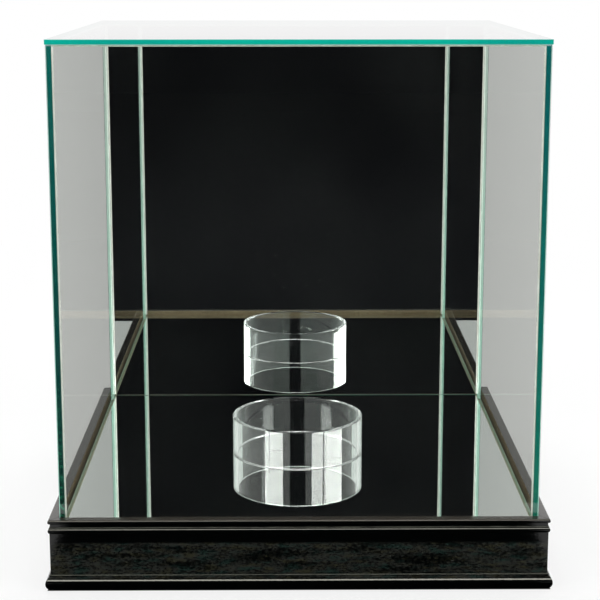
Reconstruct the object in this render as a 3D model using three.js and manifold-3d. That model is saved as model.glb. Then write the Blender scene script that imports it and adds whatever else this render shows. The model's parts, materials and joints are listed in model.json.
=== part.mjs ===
// A glass display case for one basketball. Five bonded panes, the back one a mirror, make a
// cover that lifts off. It stands on a moulded black wooden base with a mirror floor, and a
// clear ring on that floor holds the ball. Millimetres, +Z up, the front towards -Y, with the
// origin under the middle of the case, on the surface that it stands on.

import * as THREE from 'three';
import { mergeVertices } from 'three/addons/utils/BufferGeometryUtils.js';
import Module from 'manifold-3d';

const wasm = await Module();
wasm.setup();

// Cover
const coverWidth = 288;
const coverDepth = 288;
const caseHeight = 328;
const glassThickness = 3;
const topOverhang = 0.5;
const bondGap = 0.1;
const beadLeg = 1;
const beadHollow = 0.3;
const beadFootGap = 1;

// Riser ring
const riserDiameter = 88.9;
const riserWall = 3.2;
const riserHeight = 25.4;
const riserChamfer = 0.4;

// Base rails: the reaches are counted outwards from the glass
const railHeight = 43.4;
const railInset = 13;
const footBeadRadius = 4.8;
const footBeadRise = 3.7;
const footBeadReach = 8.5;
const footStepRise = 9.1;
const footStepReach = 6.3;
const stepRound = 0.3;
const panelReach = 5.5;
const upperBeadRadius = 2.15;
const upperBeadDrop = 2.2;
const upperBeadReach = 6.4;
const upperStepReach = 5.7;
const notchReach = 5.2;
const notchHeight = 2.1;
const lipBandHeight = 2.6;
const lipReach = 6.4;
const lipRound = 1;
const mitreGap = 0.3;

// Deck, mirror floor and the tape between them
const lipHeight = 7.7;
const deckThickness = 6;
const mirrorFloorThickness = 3;
const tapeThickness = 0.8;
const tapeWidth = 20;
const tapeEndInset = 15;
const tapeSideInset = 40;

// Fixings under the base
const blockLeg = 30;
const blockTip = 4;
const blockHeight = 14;
const screwDiameter = 3.5;
const screwHeadDiameter = 7;
const screwHeadHeight = 2.2;
const screwInset = 9;
const screwTipCover = 1.8;
const screwTipLength = 3;
const screwRecess = 0.3;
const driveWidth = 1;
const driveSpan = 3.6;
const driveDepth = 1.3;
const nailLeg = 6;
const nailThickness = 0.6;
const nailHeight = 9;
const nailRecess = 0.2;
const outerNailInset = 1.5;
const nailSpacing = 6;
const feltDiameter = 16;
const feltThickness = 0.5;
const feltInset = 30;

// Clearances
const glassClearance = 0.4;
const deckClearance = 0.3;
const mirrorClearance = 1;
const restClearance = 0.2;
const fixingClearance = 0.3;
const cutOverrun = 1;

// Smoothness of the round forms
const beadSteps = 14;
const smallRoundSteps = 5;
const ringSteps = 72;
const screwSteps = 20;
const feltSteps = 32;

const halfWidth = coverWidth / 2;
const halfDepth = coverDepth / 2;
const innerWidth = coverWidth - 2 * glassThickness;
const innerDepth = coverDepth - 2 * glassThickness;
const railBottom = feltThickness;
const railTop = railBottom + railHeight;
const deckTop = railTop - lipHeight;
const deckBottom = deckTop - deckThickness;
const mirrorFloorTop = deckTop + tapeThickness + mirrorFloorThickness;
const wallBottom = deckTop + restClearance;
const topBottom = caseHeight - glassThickness;
const wallTop = topBottom - bondGap;

const materials = {
  glass: finish('#dcebe6', 0.03, 0),
  mirror: finish('#c9d2d0', 0.04, 1),
  bead: finish('#e6efe9', 0.12, 0),
  acrylic: finish('#eef3f4', 0.04, 0),
  blackWood: finish('#161815', 0.38, 0),
  board: finish('#7a6047', 0.8, 0),
  pine: finish('#b58f61', 0.75, 0),
  steel: finish('#a9adb0', 0.35, 1),
  tape: finish('#e9e8e2', 0.7, 0),
  felt: finish('#1c1d1f', 0.98, 0)
};

// The four corners of the base, each with the turn that brings the front left corner there
const corners = [
  { name: 'front_left', x: -1, y: -1, turn: 0 },
  { name: 'front_right', x: 1, y: -1, turn: Math.PI / 2 },
  { name: 'back_right', x: 1, y: 1, turn: Math.PI },
  { name: 'back_left', x: -1, y: 1, turn: -Math.PI / 2 }
];

function finish(color, roughness, metalness) {
  return new THREE.MeshStandardMaterial({ color, roughness, metalness });
}

function piece(parent, name, geometry, material, x = 0, y = 0, z = 0, turn = 0) {
  const mesh = new THREE.Mesh(geometry, material);
  mesh.name = name;
  mesh.position.set(x, y, z);
  mesh.rotation.z = turn;
  parent.add(mesh);
}

// A closed geometry as a solid that can be cut
function solidOf(geometry) {
  const bare = geometry.index ? geometry.toNonIndexed() : geometry.clone();
  bare.deleteAttribute('normal');
  bare.deleteAttribute('uv');
  const merged = mergeVertices(bare);
  const mesh = new wasm.Mesh({
    numProp: 3,
    vertProperties: Float32Array.from(merged.attributes.position.array),
    triVerts: Uint32Array.from(merged.index.array)
  });
  return new wasm.Manifold(mesh);
}

function geometryOf(solid) {
  const mesh = solid.getMesh();
  const geometry = new THREE.BufferGeometry();
  geometry.setAttribute('position', new THREE.BufferAttribute(mesh.vertProperties, 3));
  geometry.setIndex(new THREE.BufferAttribute(mesh.triVerts, 1));
  return geometry;
}

// An outline in plan, raised from its own level
function raised(points, height) {
  const shape = new THREE.Shape(points.map(([x, y]) => new THREE.Vector2(x, y)));
  return new THREE.ExtrudeGeometry(shape, { depth: height, bevelEnabled: false });
}

// Cover: every pane stands on or against the next with a bond line between them
function addCover() {
  const cover = new THREE.Group();
  const wallHeight = wallTop - wallBottom;
  const wallMiddle = (wallTop + wallBottom) / 2;
  const sideDepth = innerDepth - 2 * bondGap;
  const frontPane = new THREE.BoxGeometry(coverWidth, glassThickness, wallHeight);
  const sidePane = new THREE.BoxGeometry(glassThickness, sideDepth, wallHeight);
  const topPane = new THREE.BoxGeometry(
    coverWidth + 2 * topOverhang,
    coverDepth + 2 * topOverhang,
    glassThickness
  );
  const frontMiddle = halfDepth - glassThickness / 2;
  const sideMiddle = halfWidth - glassThickness / 2;
  const topMiddle = topBottom + glassThickness / 2;
  piece(cover, 'glass_top', topPane, materials.glass, 0, 0, topMiddle);
  piece(cover, 'glass_front', frontPane, materials.glass, 0, -frontMiddle, wallMiddle);
  piece(cover, 'glass_left', sidePane, materials.glass, -sideMiddle, 0, wallMiddle);
  piece(cover, 'glass_right', sidePane, materials.glass, sideMiddle, 0, wallMiddle);
  piece(cover, 'mirror_back', frontPane, materials.mirror, 0, frontMiddle, wallMiddle);
  addUprightBeads(cover);
  addTopBeads(cover);
  return cover;
}

// Section of a clear bead in an inner corner, its legs along +X and +Y, its face hollow
function beadSection() {
  const shape = new THREE.Shape();
  const middle = beadLeg / 2 - beadHollow;
  shape.moveTo(0, 0);
  shape.lineTo(beadLeg, 0);
  shape.quadraticCurveTo(middle, middle, 0, beadLeg);
  shape.closePath();
  return shape;
}

function beadGeometry(length) {
  return new THREE.ExtrudeGeometry(beadSection(), {
    depth: length,
    bevelEnabled: false,
    curveSegments: smallRoundSteps
  });
}

function addUprightBeads(cover) {
  const foot = mirrorFloorTop + beadFootGap;
  const head = wallTop - beadLeg - 2 * bondGap;
  for (const corner of corners) {
    const x = corner.x * (innerWidth / 2 - bondGap);
    const y = corner.y * (innerDepth / 2 - bondGap);
    const bead = beadGeometry(head - foot);
    piece(cover, `bead_${corner.name}`, bead, materials.bead, x, y, foot, corner.turn);
  }
}

// The beads under the top pane run along the walls. The side ones stop at the other two.
function addTopBeads(cover) {
  const level = wallTop - bondGap;
  const frontLength = innerWidth - 2 * bondGap;
  const sideLength = innerDepth - 2 * (beadLeg + 2 * bondGap);
  const runs = [
    ['bead_top_front', frontLength, 0, -(innerDepth / 2 - bondGap), 0],
    ['bead_top_right', sideLength, innerWidth / 2 - bondGap, 0, Math.PI / 2],
    ['bead_top_back', frontLength, 0, innerDepth / 2 - bondGap, Math.PI],
    ['bead_top_left', sideLength, -(innerWidth / 2 - bondGap), 0, -Math.PI / 2]
  ];
  for (const [name, length, x, y, turn] of runs) {
    const bead = beadGeometry(length);
    bead.rotateZ(Math.PI / 2);
    bead.rotateY(-Math.PI / 2);
    bead.translate(length / 2, 0, 0);
    piece(cover, name, bead, materials.bead, x, y, level, turn);
  }
}

// Riser: a clear ring with a small chamfer on its four edges
function addRiser() {
  const riser = new THREE.Group();
  const outer = riserDiameter / 2;
  const inner = outer - riserWall;
  const section = [
    [inner + riserChamfer, 0],
    [outer - riserChamfer, 0],
    [outer, riserChamfer],
    [outer, riserHeight - riserChamfer],
    [outer - riserChamfer, riserHeight],
    [inner + riserChamfer, riserHeight],
    [inner, riserHeight - riserChamfer],
    [inner, riserChamfer],
    [inner + riserChamfer, 0]
  ].map(([radius, height]) => new THREE.Vector2(radius, height));
  const ring = new THREE.LatheGeometry(section, ringSteps);
  ring.rotateX(Math.PI / 2);
  piece(riser, 'riser_ring', ring, materials.acrylic, 0, 0, mirrorFloorTop + restClearance);
  return riser;
}

// Outline of a rail across its length: outwards from the glass, and up
function railOutline() {
  const footCentre = footBeadReach - footBeadRadius;
  const footCut = Math.asin(footBeadRise / footBeadRadius);
  const footTurn = Math.acos((footStepReach - footCentre) / footBeadRadius);
  const panelBottom = railBottom + footStepRise;
  const notchTop = railTop - lipBandHeight;
  const upperStepTop = notchTop - notchHeight;
  const upperMiddle = upperStepTop - upperBeadDrop;
  const upperCentre = upperBeadReach - upperBeadRadius;
  const upperCut = Math.acos((panelReach - upperCentre) / upperBeadRadius);
  const upperTurn = Math.acos((upperStepReach - upperCentre) / upperBeadRadius);
  const shelf = deckBottom - restClearance;
  const lipCentre = lipReach - lipRound;
  const quarter = Math.PI / 2;

  const shape = new THREE.Shape();
  shape.moveTo(-railInset, railBottom);
  shape.lineTo(footCentre + footBeadRadius * Math.cos(footCut), railBottom);
  shape.absarc(footCentre, railBottom + footBeadRise, footBeadRadius, -footCut, footTurn);
  shape.absarc(footStepReach - stepRound, panelBottom - stepRound, stepRound, 0, quarter);
  shape.lineTo(panelReach, panelBottom);
  shape.absarc(upperCentre, upperMiddle, upperBeadRadius, -upperCut, upperTurn);
  shape.absarc(upperStepReach - stepRound, upperStepTop - stepRound, stepRound, 0, quarter);
  shape.lineTo(notchReach, upperStepTop);
  shape.lineTo(notchReach, notchTop);
  shape.lineTo(lipCentre, notchTop);
  shape.absarc(lipCentre, notchTop + lipRound, lipRound, -quarter, 0);
  shape.absarc(lipCentre, railTop - lipRound, lipRound, 0, quarter);
  shape.lineTo(glassClearance, railTop);
  shape.lineTo(glassClearance, shelf);
  shape.lineTo(-railInset, shelf);
  shape.closePath();
  return shape.getPoints(beadSteps);
}

// A rail along X at the front of a frame of that size, both ends cut to the mitre
function railGeometry(halfAlong, halfAcross) {
  const outline = cleaned(railOutline());
  const count = outline.length;
  const pullBack = mitreGap / Math.SQRT2;
  const positions = [];
  for (const side of [-1, 1]) {
    for (const point of outline) {
      const x = side * (halfAlong + point.x - pullBack);
      positions.push(x, -(halfAcross + point.x), point.y);
    }
  }
  const triangles = [];
  for (const [a, b, c] of THREE.ShapeUtils.triangulateShape(outline, [])) {
    triangles.push(a, b, c);
    triangles.push(count + a, count + c, count + b);
  }
  for (let i = 0; i < count; i += 1) {
    const next = (i + 1) % count;
    triangles.push(i, count + next, next);
    triangles.push(i, count + i, count + next);
  }
  const geometry = new THREE.BufferGeometry();
  geometry.setAttribute('position', new THREE.Float32BufferAttribute(positions, 3));
  geometry.setIndex(triangles);
  return geometry;
}

// Points that repeat where two curves meet are dropped
function cleaned(points) {
  return points.filter((point, i) => {
    const before = points[(i + points.length - 1) % points.length];
    return point.distanceTo(before) > mitreGap / ringSteps;
  });
}

// A corner nail in plan: two legs along +X and +Y from the outer corner, grown by a clearance
function nailGeometry(height, grown) {
  const outside = -grown;
  const leg = nailLeg + grown;
  const inside = nailThickness + grown;
  const plan = [
    [outside, outside],
    [leg, outside],
    [leg, inside],
    [inside, inside],
    [inside, leg],
    [outside, leg]
  ];
  return raised(plan, height);
}

// How far inside the glass line the outer corner of each nail stands
const nailInsets = [outerNailInset, outerNailInset + nailSpacing];

function cutRail(halfAlong, halfAcross) {
  const slotHeight = nailHeight + nailRecess + fixingClearance + cutOverrun;
  let rail = solidOf(railGeometry(halfAlong, halfAcross));
  for (const end of [-1, 1]) {
    for (const inset of nailInsets) {
      const slot = nailGeometry(slotHeight, fixingClearance);
      slot.rotateZ(end < 0 ? 0 : Math.PI / 2);
      slot.translate(end * (halfAlong - inset), -(halfAcross - inset), railBottom - cutOverrun);
      rail = rail.subtract(solidOf(slot));
    }
  }
  return geometryOf(rail);
}

function addRails(base) {
  const longRail = cutRail(halfWidth, halfDepth);
  const sideRail = cutRail(halfDepth, halfWidth);
  piece(base, 'moulding_front', longRail, materials.blackWood);
  piece(base, 'moulding_right', sideRail, materials.blackWood, 0, 0, 0, Math.PI / 2);
  piece(base, 'moulding_back', longRail, materials.blackWood, 0, 0, 0, Math.PI);
  piece(base, 'moulding_left', sideRail, materials.blackWood, 0, 0, 0, -Math.PI / 2);
}

// Screw on its own axis, head down: the half section from the head to the tip, grown by a gap
function screwSection(length, grown, headOverrun) {
  const head = screwHeadDiameter / 2 + grown;
  const shank = screwDiameter / 2 + grown;
  return [
    [0, -headOverrun],
    [head, -headOverrun],
    [head, 0],
    [shank, screwHeadHeight],
    [shank, length - screwTipLength],
    [0, length]
  ].map(([radius, height]) => new THREE.Vector2(radius, height));
}

function turned(section, steps) {
  const geometry = new THREE.LatheGeometry(section, steps);
  geometry.rotateX(Math.PI / 2);
  return geometry;
}

const blockTop = deckBottom - restClearance;
const blockBottom = blockTop - blockHeight;
const screwFoot = blockBottom + screwRecess;
const screwLength = deckTop - screwTipCover - screwFoot;

function screwGeometry() {
  let screw = solidOf(turned(screwSection(screwLength, 0, driveDepth / 2), screwSteps));
  for (const turn of [0, Math.PI / 2]) {
    const slot = new THREE.BoxGeometry(driveSpan, driveWidth, 2 * driveDepth);
    slot.rotateZ(turn);
    slot.translate(0, 0, -driveDepth / 2);
    screw = screw.subtract(solidOf(slot));
  }
  return geometryOf(screw);
}

// Room for a screw: its own shape grown all round, open below the head
function screwRoom() {
  return turned(screwSection(screwLength + fixingClearance, fixingClearance, blockHeight), screwSteps);
}

// Corner block in plan: a triangle in the corner of the frame with both tips cut off
function blockGeometry() {
  const plan = [[0, 0], [blockLeg, 0], [blockLeg, blockTip], [blockTip, blockLeg], [0, blockLeg]];
  const room = screwRoom();
  room.translate(screwInset, screwInset, screwFoot - blockBottom);
  return geometryOf(solidOf(raised(plan, blockHeight)).subtract(solidOf(room)));
}

// The outer corner of a block, a clearance inside the rails
function blockCorner(corner) {
  return {
    x: corner.x * (halfWidth - railInset - restClearance),
    y: corner.y * (halfDepth - railInset - restClearance)
  };
}

function screwPlace(corner) {
  const outer = blockCorner(corner);
  return { x: outer.x - corner.x * screwInset, y: outer.y - corner.y * screwInset };
}

function addDeck(base) {
  const edge = glassClearance - deckClearance;
  const plank = new THREE.BoxGeometry(coverWidth + 2 * edge, coverDepth + 2 * edge, deckThickness);
  plank.translate(0, 0, deckBottom + deckThickness / 2);
  let deck = solidOf(plank);
  for (const corner of corners) {
    const place = screwPlace(corner);
    const room = screwRoom();
    room.translate(place.x, place.y, screwFoot);
    deck = deck.subtract(solidOf(room));
  }
  piece(base, 'deck_board', geometryOf(deck), materials.board);
}

function addMirrorFloor(base) {
  const width = innerWidth - 2 * mirrorClearance;
  const depth = innerDepth - 2 * mirrorClearance;
  const pane = new THREE.BoxGeometry(width, depth, mirrorFloorThickness);
  const middle = mirrorFloorTop - mirrorFloorThickness / 2;
  piece(base, 'mirror_floor', pane, materials.mirror, 0, 0, middle);
  const tape = new THREE.BoxGeometry(tapeWidth, depth - 2 * tapeEndInset, tapeThickness);
  const tapeX = width / 2 - tapeSideInset - tapeWidth / 2;
  const tapeMiddle = deckTop + tapeThickness / 2;
  piece(base, 'mirror_tape_left', tape, materials.tape, -tapeX, 0, tapeMiddle);
  piece(base, 'mirror_tape_right', tape, materials.tape, tapeX, 0, tapeMiddle);
}

function addCornerFixings(base) {
  const block = blockGeometry();
  const screw = screwGeometry();
  const nail = nailGeometry(nailHeight, 0);
  for (const corner of corners) {
    const outer = blockCorner(corner);
    const place = screwPlace(corner);
    const blockName = `corner_block_${corner.name}`;
    const screwName = `block_screw_${corner.name}`;
    piece(base, blockName, block, materials.pine, outer.x, outer.y, blockBottom, corner.turn);
    piece(base, screwName, screw, materials.steel, place.x, place.y, screwFoot);
    nailInsets.forEach((inset, i) => {
      const name = `corner_nail_${corner.name}_${i + 1}`;
      const x = corner.x * (halfWidth - inset);
      const y = corner.y * (halfDepth - inset);
      piece(base, name, nail, materials.steel, x, y, railBottom + nailRecess, corner.turn);
    });
  }
}

// Felt feet under the front and back rails, beside the mitres and midway across the flat
function addFeet(base) {
  const radius = feltDiameter / 2;
  const flatMiddle = (railInset - (footBeadReach - footBeadRadius)) / 2;
  for (const corner of corners) {
    const foot = new THREE.CylinderGeometry(radius, radius, feltThickness, feltSteps);
    foot.rotateX(Math.PI / 2);
    const x = corner.x * (halfWidth - feltInset);
    const y = corner.y * (halfDepth - flatMiddle);
    piece(base, `felt_foot_${corner.name}`, foot, materials.felt, x, y, feltThickness / 2);
  }
}

function addBase() {
  const base = new THREE.Group();
  addRails(base);
  addDeck(base);
  addMirrorFloor(base);
  addCornerFixings(base);
  addFeet(base);
  return base;
}

const displayCase = new THREE.Group();
displayCase.add(addBase());
displayCase.add(addRiser());
displayCase.add(addCover());

export default displayCase;
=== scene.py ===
# Basketball display case: a glass cover with a mirror back, a clear riser ring and a
# moulded black wooden base. Metres, +Z up, front towards -Y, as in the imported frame.
import json
import math
import bmesh
import bpy
from mathutils import Matrix, Vector

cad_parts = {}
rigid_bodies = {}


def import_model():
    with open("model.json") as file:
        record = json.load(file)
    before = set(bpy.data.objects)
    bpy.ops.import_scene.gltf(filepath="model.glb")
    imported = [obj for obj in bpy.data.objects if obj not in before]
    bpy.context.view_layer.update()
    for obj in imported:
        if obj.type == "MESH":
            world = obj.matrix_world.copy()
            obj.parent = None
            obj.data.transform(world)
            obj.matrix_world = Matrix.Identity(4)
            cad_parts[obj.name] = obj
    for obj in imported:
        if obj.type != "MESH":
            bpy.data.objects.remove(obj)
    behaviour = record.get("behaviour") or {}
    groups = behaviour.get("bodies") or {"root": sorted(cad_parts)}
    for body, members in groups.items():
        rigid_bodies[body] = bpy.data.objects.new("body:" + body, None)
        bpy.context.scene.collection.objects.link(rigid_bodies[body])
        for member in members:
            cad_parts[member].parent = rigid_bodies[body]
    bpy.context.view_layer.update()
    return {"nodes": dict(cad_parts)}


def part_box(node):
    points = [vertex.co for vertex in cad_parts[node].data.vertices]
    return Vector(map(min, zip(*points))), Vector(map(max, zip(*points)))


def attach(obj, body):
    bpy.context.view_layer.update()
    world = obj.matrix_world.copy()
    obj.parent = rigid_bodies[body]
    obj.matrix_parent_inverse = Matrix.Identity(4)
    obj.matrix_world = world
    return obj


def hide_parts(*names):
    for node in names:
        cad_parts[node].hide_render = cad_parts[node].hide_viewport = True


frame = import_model()
scene = bpy.context.scene
nodes = frame["nodes"]
cornerNames = ["front_left", "front_right", "back_right", "back_left"]
sideNames = ["front", "right", "back", "left"]
print("frame loaded:", len(nodes), "nodes")

camera = {
    "place": (-0.00776, -1.04813, 0.37184),
    "turnDegrees": 0.521,       # to the right of +Y
    "dipDegrees": 11.138,
    "focalPixels": 1580.9,
    "framePixels": 600,
    "cropPixels": -28.3,        # how far the photograph's frame stands below the lens's own middle
    "sensorMillimetres": 36,
}


def makeCamera():
    data = bpy.data.cameras.new("camera")
    data.sensor_width = camera["sensorMillimetres"]
    data.lens = camera["sensorMillimetres"] * camera["focalPixels"] / camera["framePixels"]
    data.shift_y = camera["cropPixels"] / camera["framePixels"]
    view = bpy.data.objects.new("camera", data)
    view.location = camera["place"]
    dip = math.radians(90 - camera["dipDegrees"])
    view.rotation_euler = (dip, 0, -math.radians(camera["turnDegrees"]))
    scene.collection.objects.link(view)
    scene.camera = view


makeCamera()
print("camera set")


# Shader helpers
def newMaterial(name):
    mat = bpy.data.materials.new(name)
    mat.use_nodes = True
    mat.node_tree.nodes.clear()
    return mat, mat.node_tree


def addNode(tree, kind, **values):
    # values: first the node's attributes, then what its sockets are set to or linked with
    node = tree.nodes.new(kind)
    for key, value in values.items():
        if hasattr(node, key):
            setattr(node, key, value)
        else:
            feed(tree, value, node.inputs[key.replace("_", " ")])
    return node


def feed(tree, value, socket):
    if isinstance(value, bpy.types.NodeSocket):
        tree.links.new(value, socket)
    elif isinstance(value, tuple) and len(value) == 3 and socket.type == "RGBA":
        socket.default_value = (*value, 1)
    else:
        socket.default_value = value


def mathNode(tree, operation, first, second=0.0, clamp=False):
    node = addNode(tree, "ShaderNodeMath", operation=operation, use_clamp=clamp)
    feed(tree, first, node.inputs[0])
    feed(tree, second, node.inputs[1])
    return node.outputs[0]


def mixColour(tree, share, first, second, blend="MIX"):
    node = addNode(tree, "ShaderNodeMix", data_type="RGBA", blend_type=blend)
    feed(tree, share, node.inputs[0])
    feed(tree, first, node.inputs[6])
    feed(tree, second, node.inputs[7])
    return node.outputs[2]


def spread(tree, value, fromLow, fromHigh, toLow=0.0, toHigh=1.0):
    node = addNode(
        tree, "ShaderNodeMapRange", Value=value,
        From_Min=fromLow, From_Max=fromHigh, To_Min=toLow, To_Max=toHigh,
    )
    return node.outputs["Result"]


def noise(tree, vector, shape):
    # shape: the scale along each axis, the detail and the roughness
    scale, detail, roughness = shape
    stretched = addNode(tree, "ShaderNodeMapping", Vector=vector, Scale=scale).outputs["Vector"]
    node = addNode(
        tree, "ShaderNodeTexNoise", Vector=stretched, Scale=1.0, Detail=detail, Roughness=roughness,
    )
    return node.outputs["Fac"]


def objectCoords(tree):
    return tree.nodes.new("ShaderNodeTexCoord").outputs["Object"]


def axisOf(tree, vector, axis):
    return addNode(tree, "ShaderNodeSeparateXYZ", Vector=vector).outputs[axis]


def finish(mat, shader):
    out = mat.node_tree.nodes.new("ShaderNodeOutputMaterial")
    mat.node_tree.links.new(shader, out.inputs["Surface"])
    return mat


def bsdf(tree, kind, **values):
    return addNode(tree, "ShaderNodeBsdf" + kind, **values).outputs[0]


def coated(mat, **values):
    return finish(mat, bsdf(mat.node_tree, "Principled", **values))


def backfacing(tree):
    return tree.nodes.new("ShaderNodeNewGeometry").outputs["Backfacing"]


def mixShader(tree, share, first, second):
    node = addNode(tree, "ShaderNodeMixShader", Fac=share)
    tree.links.new(first, node.inputs[1])
    tree.links.new(second, node.inputs[2])
    return node.outputs[0]


def bump(tree, height, distance, strength):
    node = addNode(tree, "ShaderNodeBump", Height=height, Distance=distance, Strength=strength)
    return node.outputs["Normal"]


def newGroup(name, inputs, outputs):
    group = bpy.data.node_groups.new(name, "ShaderNodeTree")
    for label, kind, default in inputs:
        socket = group.interface.new_socket(label, in_out="INPUT", socket_type=kind)
        if default is not None:
            socket.default_value = default
    for label, kind in outputs:
        group.interface.new_socket(label, in_out="OUTPUT", socket_type=kind)
    source = group.nodes.new("NodeGroupInput")
    result = group.nodes.new("NodeGroupOutput")
    return group, source.outputs, result.inputs


def useGroup(tree, group, **values):
    node = tree.nodes.new("ShaderNodeGroup")
    node.node_tree = group
    for key, value in values.items():
        feed(tree, value, node.inputs[key])
    return node.outputs


# Shared effects, each built once. A noise is given as its scale along each axis, detail and roughness.
grainShape = {
    "waves": ((6, 40, 40), 2.0, 0.55), "waveLift": (0, 0.0015, 0.0015),
    "figure": ((22, 190, 190), 3.0, 0.55), "figureBounds": (0.35, 0.68),
    "pores": ((480, 950, 950), 2.0, 0.6), "poreBounds": (0.36, 0.66), "poreDepth": 0.6,
}
dustShape = {
    "clouds": ((9, 9, 9), 4.0, 0.6), "cloudBounds": (0.4, 0.75),
    "wipes": ((30, 4, 14), 3.0, 0.5), "wipeBounds": (0.3, 0.8),
    "specks": ((900, 900, 900), 1.0, 0.5), "speckBounds": (0.72, 0.8, 0.0, 0.35),
}
cutShape = {
    "depth": ((12, 12, 7), 3.0, 0.5), "depthBounds": (0.3, 0.7),
    "marks": ((900, 900, 60), 2.0, 0.6),
    "chips": ((260, 260, 420), 4.0, 0.75), "chipBounds": (0.5, 0.66),
}


def makeGrainGroup():
    # Long fibres along X of the given vector: broad figure, fine pores and a height
    group, given, result = newGroup(
        "woodGrain",
        [("Vector", "NodeSocketVector", None), ("Pores", "NodeSocketFloat", 1.0)],
        [("Figure", "NodeSocketFloat"), ("Pores", "NodeSocketFloat"), ("Height", "NodeSocketFloat")],
    )
    shape = grainShape
    place = given["Vector"]
    lift = addNode(group, "ShaderNodeVectorMath", operation="MULTIPLY_ADD")
    group.links.new(noise(group, place, shape["waves"]), lift.inputs[0])
    lift.inputs[1].default_value = shape["waveLift"]
    group.links.new(place, lift.inputs[2])
    figure = noise(group, lift.outputs[0], shape["figure"])
    fine = noise(group, lift.outputs[0], shape["pores"])
    pores = spread(group, fine, *shape["poreBounds"])
    pores = mathNode(group, "MULTIPLY", pores, given["Pores"], clamp=True)
    group.links.new(spread(group, figure, *shape["figureBounds"]), result["Figure"])
    group.links.new(pores, result["Pores"])
    height = mathNode(group, "SUBTRACT", figure, mathNode(group, "MULTIPLY", pores, shape["poreDepth"]))
    group.links.new(height, result["Height"])
    return group


def makeDustGroup():
    # Faint settled dust and wipe marks: a mask that stays near 0
    group, given, result = newGroup(
        "settledDust",
        [("Vector", "NodeSocketVector", None), ("Amount", "NodeSocketFloat", 0.5)],
        [("Mask", "NodeSocketFloat")],
    )
    shape = dustShape
    place = given["Vector"]
    clouds = spread(group, noise(group, place, shape["clouds"]), *shape["cloudBounds"])
    wipes = spread(group, noise(group, place, shape["wipes"]), *shape["wipeBounds"])
    small = spread(group, noise(group, place, shape["specks"]), *shape["speckBounds"])
    total = mathNode(group, "ADD", mathNode(group, "MULTIPLY", clouds, wipes), small)
    group.links.new(mathNode(group, "MULTIPLY", total, given["Amount"], clamp=True), result["Mask"])
    return group


def makeCutEdgeGroup():
    # A ground glass edge: long wheel marks, a depth of green that varies, and small chips
    group, given, result = newGroup(
        "cutGlassEdge",
        [("Vector", "NodeSocketVector", None), ("Chips", "NodeSocketFloat", 0.3)],
        [("Depth", "NodeSocketFloat"), ("Marks", "NodeSocketFloat"), ("Chips", "NodeSocketFloat")],
    )
    shape = cutShape
    depth, marks, chips = (noise(group, given["Vector"], shape[key]) for key in ("depth", "marks", "chips"))
    found = spread(group, chips, *shape["chipBounds"])
    group.links.new(spread(group, depth, *shape["depthBounds"]), result["Depth"])
    group.links.new(marks, result["Marks"])
    group.links.new(mathNode(group, "MULTIPLY", found, given["Chips"], clamp=True), result["Chips"])
    return group


grainGroup = makeGrainGroup()
dustGroup = makeDustGroup()
edgeGroup = makeCutEdgeGroup()
print("shader groups built")

# Materials
glassLook = {
    "index": 1.52,
    "passed": (0.984, 0.990, 0.980),
    "wallGloss": 0.78, "topGloss": 1.09, "innerGloss": 0.03,     # share of the mirrored light that is kept
    "mirrored": (0.965, 0.965, 0.965), "topMirrored": (0.925, 0.925, 0.925),
    "haze": (0.82, 0.86, 0.85), "hazeShare": (0.0006, 0.004),
    "clouds": ((9, 9, 9), 4.0, 0.6), "cloudBounds": (0.4, 0.75),
}


def paneMaterial(name, gloss, mirrored):
    # A thin sheet: what it mirrors on both faces is put on its outer skin, and it lets the rest by
    mat, tree = newMaterial(name)
    look = glassLook
    fresnel = addNode(tree, "ShaderNodeFresnel", IOR=look["index"]).outputs["Fac"]
    twice = mathNode(tree, "MULTIPLY", fresnel, 2.0)
    both = mathNode(tree, "DIVIDE", twice, mathNode(tree, "ADD", fresnel, 1.0))
    front = mathNode(tree, "SUBTRACT", 1.0, backfacing(tree))
    share = mathNode(tree, "MULTIPLY", both, front, clamp=True)
    share = mathNode(tree, "MULTIPLY", share, gloss, clamp=True)
    clear = bsdf(tree, "Transparent", Color=look["passed"])
    shine = bsdf(tree, "Anisotropic", Color=mirrored, Roughness=0.0)
    sheet = mixShader(tree, share, clear, shine)
    clouds = noise(tree, objectCoords(tree), look["clouds"])
    hazeShare = spread(tree, clouds, *look["cloudBounds"], *look["hazeShare"])
    haze = bsdf(tree, "Diffuse", Color=look["haze"])
    return finish(mat, mixShader(tree, hazeShare, sheet, haze))


def heightRamp(tree, height, stops):
    # stops: pairs of height in metres and colour, from the lowest up
    low, high = stops[0][0], stops[-1][0]
    ramp = tree.nodes.new("ShaderNodeValToRGB")
    feed(tree, spread(tree, height, low, high), ramp.inputs["Fac"])
    points = ramp.color_ramp.elements
    for i, (level, colour) in enumerate(stops):
        point = points[0] if i == 0 else points[1] if i == len(stops) - 1 else points.new(0.5)
        point.position = (level - low) / (high - low)
        point.color = (*colour, 1)
        if i == 0:
            points[1].position = 1.0
    return ramp.outputs["Color"]


# What all cut edges share
cutEdge = {
    "sidesBlend": (-0.05, 0.05),        # across the case, from the look of the left edges to the right ones
    "underFrom": (0.5, 0.9),            # how far up a bottom edge seen through its sheet has to face
    "markBounds": (0.3, 0.7), "roughnessSpan": 0.2, "bump": (0.00008, 0.4),
}


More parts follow.
